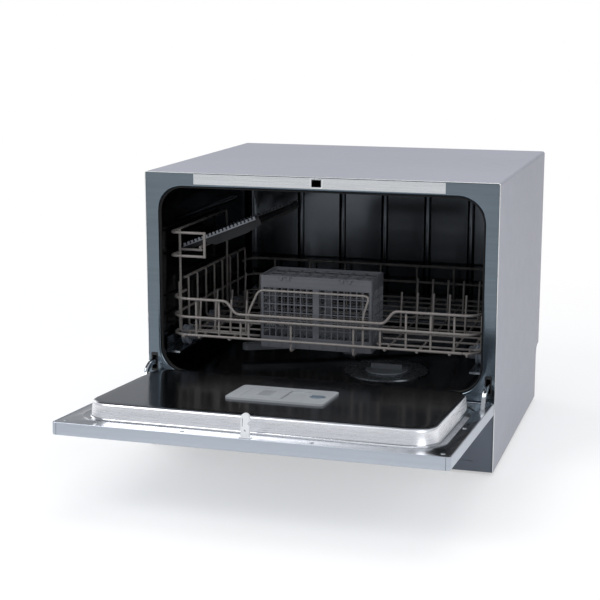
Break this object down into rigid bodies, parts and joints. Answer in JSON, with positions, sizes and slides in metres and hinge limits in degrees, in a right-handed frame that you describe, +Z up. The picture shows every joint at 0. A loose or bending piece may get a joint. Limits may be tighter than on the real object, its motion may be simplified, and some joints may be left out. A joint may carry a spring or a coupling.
{
  "type": "countertop dishwasher",
  "caption": "Countertop dishwasher with drop-down door, sliding wire rack on wheels, cutlery basket, folding cup shelf and spray arm.",
  "frame": {"origin": "centre of the footprint with the door open, at the bottom of the feet", "axes": "+Z up, the door opens towards -Y, X across the width"},
  "size_m": [0.55, 0.823, 0.438],
  "materials": {
    "painted_grey": "satin",
    "zinc_sheet": "satin",
    "base_plastic": "matte",
    "panel_plastic": "satin",
    "window": "gloss",
    "circuit": "satin",
    "stainless": "polished",
    "bright_strip": "brushed",
    "black_plastic": "satin",
    "gasket": "matte",
    "chrome": "polished",
    "pump_plastic": "matte",
    "white_plastic": "satin",
    "felt": "matte",
    "door_paint": "satin",
    "hook_plastic": "translucent",
    "dispenser_plastic": "satin",
    "rack_coating": "nylon coat over wire",
    "wheel_plastic": "satin",
    "shelf_plastic": "satin",
    "basket_plastic": "satin",
    "spray_plastic": "satin",
    "button_plastic": "satin"
  },
  "bodies": {
    "cabinet": {"outer_wrap": "painted_grey", "back_panel": "zinc_sheet", "service_panel": "zinc_sheet", "base_tray": "base_plastic", "front_control_panel": "panel_plastic", "display_window": "window", "control_board": "circuit", "front_frame": "stainless", "latch_trim": "bright_strip", "latch_housing": "black_plastic", "tub": "stainless", "door_gasket": "gasket", "rack_track_left": "stainless", "rack_track_right": "stainless", "hinge_brackets": "zinc_sheet", "hinge_pins": "chrome", "hinge_slot_bezels": "black_plastic", "filter_plate": "stainless", "spray_riser": "spray_plastic", "sump": "base_plastic", "wash_pump": "pump_plastic", "drain_pump": "pump_plastic", "water_heater": "zinc_sheet", "inlet_valve": "white_plastic", "drain_spigot": "white_plastic", "cord_gland": "black_plastic", "air_break_tank": "white_plastic", "sound_insulation": "felt", "feet": "gasket", "case_screws": "chrome"},
    "door": {"door_outer_panel": "door_paint", "door_liner": "stainless", "door_grip": "black_plastic", "latch_hook": "hook_plastic", "hinge_arms": "chrome", "dispenser_body": "dispenser_plastic"},
    "dispenser_lid": {"dispenser_lid": "dispenser_plastic"},
    "rinse_aid_cap": {"rinse_aid_cap": "dispenser_plastic"},
    "rack": {"rack_floor": "rack_coating", "rack_front": "rack_coating", "rack_rear": "rack_coating", "rack_side_left": "rack_coating", "rack_side_right": "rack_coating", "rack_tines": "rack_coating", "cup_guard": "rack_coating", "wheel_clips": "wheel_plastic"},
    "cup_shelf": {"cup_shelf": "shelf_plastic"},
    "cutlery_basket": {"cutlery_basket": "basket_plastic", "cutlery_basket_grid": "basket_plastic"},
    "spray_arm": {"spray_arm": "spray_plastic"},
    "filter_cup": {"filter_cup": "spray_plastic"},
    "button_power": {"button_power": "button_plastic"},
    "button_program": {"button_program": "button_plastic"},
    "button_start": {"button_start": "button_plastic"},
    "wheel_front_left": {"wheel_front_left": "wheel_plastic"},
    "wheel_front_right": {"wheel_front_right": "wheel_plastic"},
    "wheel_middle_left": {"wheel_middle_left": "wheel_plastic"},
    "wheel_middle_right": {"wheel_middle_right": "wheel_plastic"},
    "wheel_rear_left": {"wheel_rear_left": "wheel_plastic"},
    "wheel_rear_right": {"wheel_rear_right": "wheel_plastic"}
  },
  "joints": [
    {"name": "door_hinge", "type": "hinge", "parent": "cabinet", "child": "door", "pos_m": [0, -0.07953, 0.104], "axis": [-1, 0, 0], "range_deg": [0, 86.5]},
    {"name": "rack_slide", "type": "slide", "parent": "cabinet", "child": "rack", "axis": [0, 1, 0], "range_m": [-0.318, 0]},
    {"name": "wheel_front_left_spin", "type": "hinge", "parent": "rack", "child": "wheel_front_left", "pos_m": [-0.2385, 0.00847, 0.1663], "axis": [1, 0, 0], "continuous": true},
    {"name": "wheel_front_right_spin", "type": "hinge", "parent": "rack", "child": "wheel_front_right", "pos_m": [0.2385, 0.00847, 0.1663], "axis": [1, 0, 0], "continuous": true},
    {"name": "wheel_middle_left_spin", "type": "hinge", "parent": "rack", "child": "wheel_middle_left", "pos_m": [-0.2385, 0.12946, 0.1663], "axis": [1, 0, 0], "continuous": true},
    {"name": "wheel_middle_right_spin", "type": "hinge", "parent": "rack", "child": "wheel_middle_right", "pos_m": [0.2385, 0.12946, 0.1663], "axis": [1, 0, 0], "continuous": true},
    {"name": "wheel_rear_left_spin", "type": "hinge", "parent": "rack", "child": "wheel_rear_left", "pos_m": [-0.2385, 0.25046, 0.1663], "axis": [1, 0, 0], "continuous": true},
    {"name": "wheel_rear_right_spin", "type": "hinge", "parent": "rack", "child": "wheel_rear_right", "pos_m": [0.2385, 0.25046, 0.1663], "axis": [1, 0, 0], "continuous": true},
    {"name": "cup_shelf_fold", "type": "hinge", "parent": "rack", "child": "cup_shelf", "pos_m": [-0.2475, 0.09446, 0.302], "axis": [0, -1, 0], "range_deg": [0, 18]},
    {"name": "basket_lift", "type": "slide", "parent": "rack", "child": "cutlery_basket", "axis": [0, 0, 1], "range_m": [0, 0.1]},
    {"name": "spray_arm_spin", "type": "hinge", "parent": "cabinet", "child": "spray_arm", "pos_m": [0, 0.15246, 0.138], "axis": [0, 0, 1], "continuous": true},
    {"name": "filter_twist", "type": "hinge", "parent": "cabinet", "child": "filter_cup", "pos_m": [0.084, 0.04346, 0.12], "axis": [0, 0, 1], "range_deg": [0, 60]},
    {"name": "dispenser_lid_slide", "type": "slide", "parent": "door", "child": "dispenser_lid", "axis": [1, 0, 0], "range_m": [0, 0.03]},
    {"name": "rinse_aid_turn", "type": "hinge", "parent": "door", "child": "rinse_aid_cap", "pos_m": [0.052, -0.23829, 0.14557], "axis": [0, 0.061, 0.9981], "range_deg": [0, 90]},
    {"name": "button_power_press", "type": "slide", "parent": "cabinet", "child": "button_power", "axis": [0, 1, 0], "range_m": [0, 0.0015], "stiffness_N_per_m": 300},
    {"name": "button_program_press", "type": "slide", "parent": "cabinet", "child": "button_program", "axis": [0, 1, 0], "range_m": [0, 0.0015], "stiffness_N_per_m": 300},
    {"name": "button_start_press", "type": "slide", "parent": "cabinet", "child": "button_start", "axis": [0, 1, 0], "range_m": [0, 0.0015], "stiffness_N_per_m": 300}
  ],
  "couplings": [
    {"joint": "wheel_front_left_spin", "follows": "rack_slide", "rad_per_m": -64.516},
    {"joint": "wheel_front_right_spin", "follows": "rack_slide", "rad_per_m": -64.516},
    {"joint": "wheel_middle_left_spin", "follows": "rack_slide", "rad_per_m": -64.516},
    {"joint": "wheel_middle_right_spin", "follows": "rack_slide", "rad_per_m": -64.516},
    {"joint": "wheel_rear_left_spin", "follows": "rack_slide", "rad_per_m": -64.516},
    {"joint": "wheel_rear_right_spin", "follows": "rack_slide", "rad_per_m": -64.516}
  ]
}
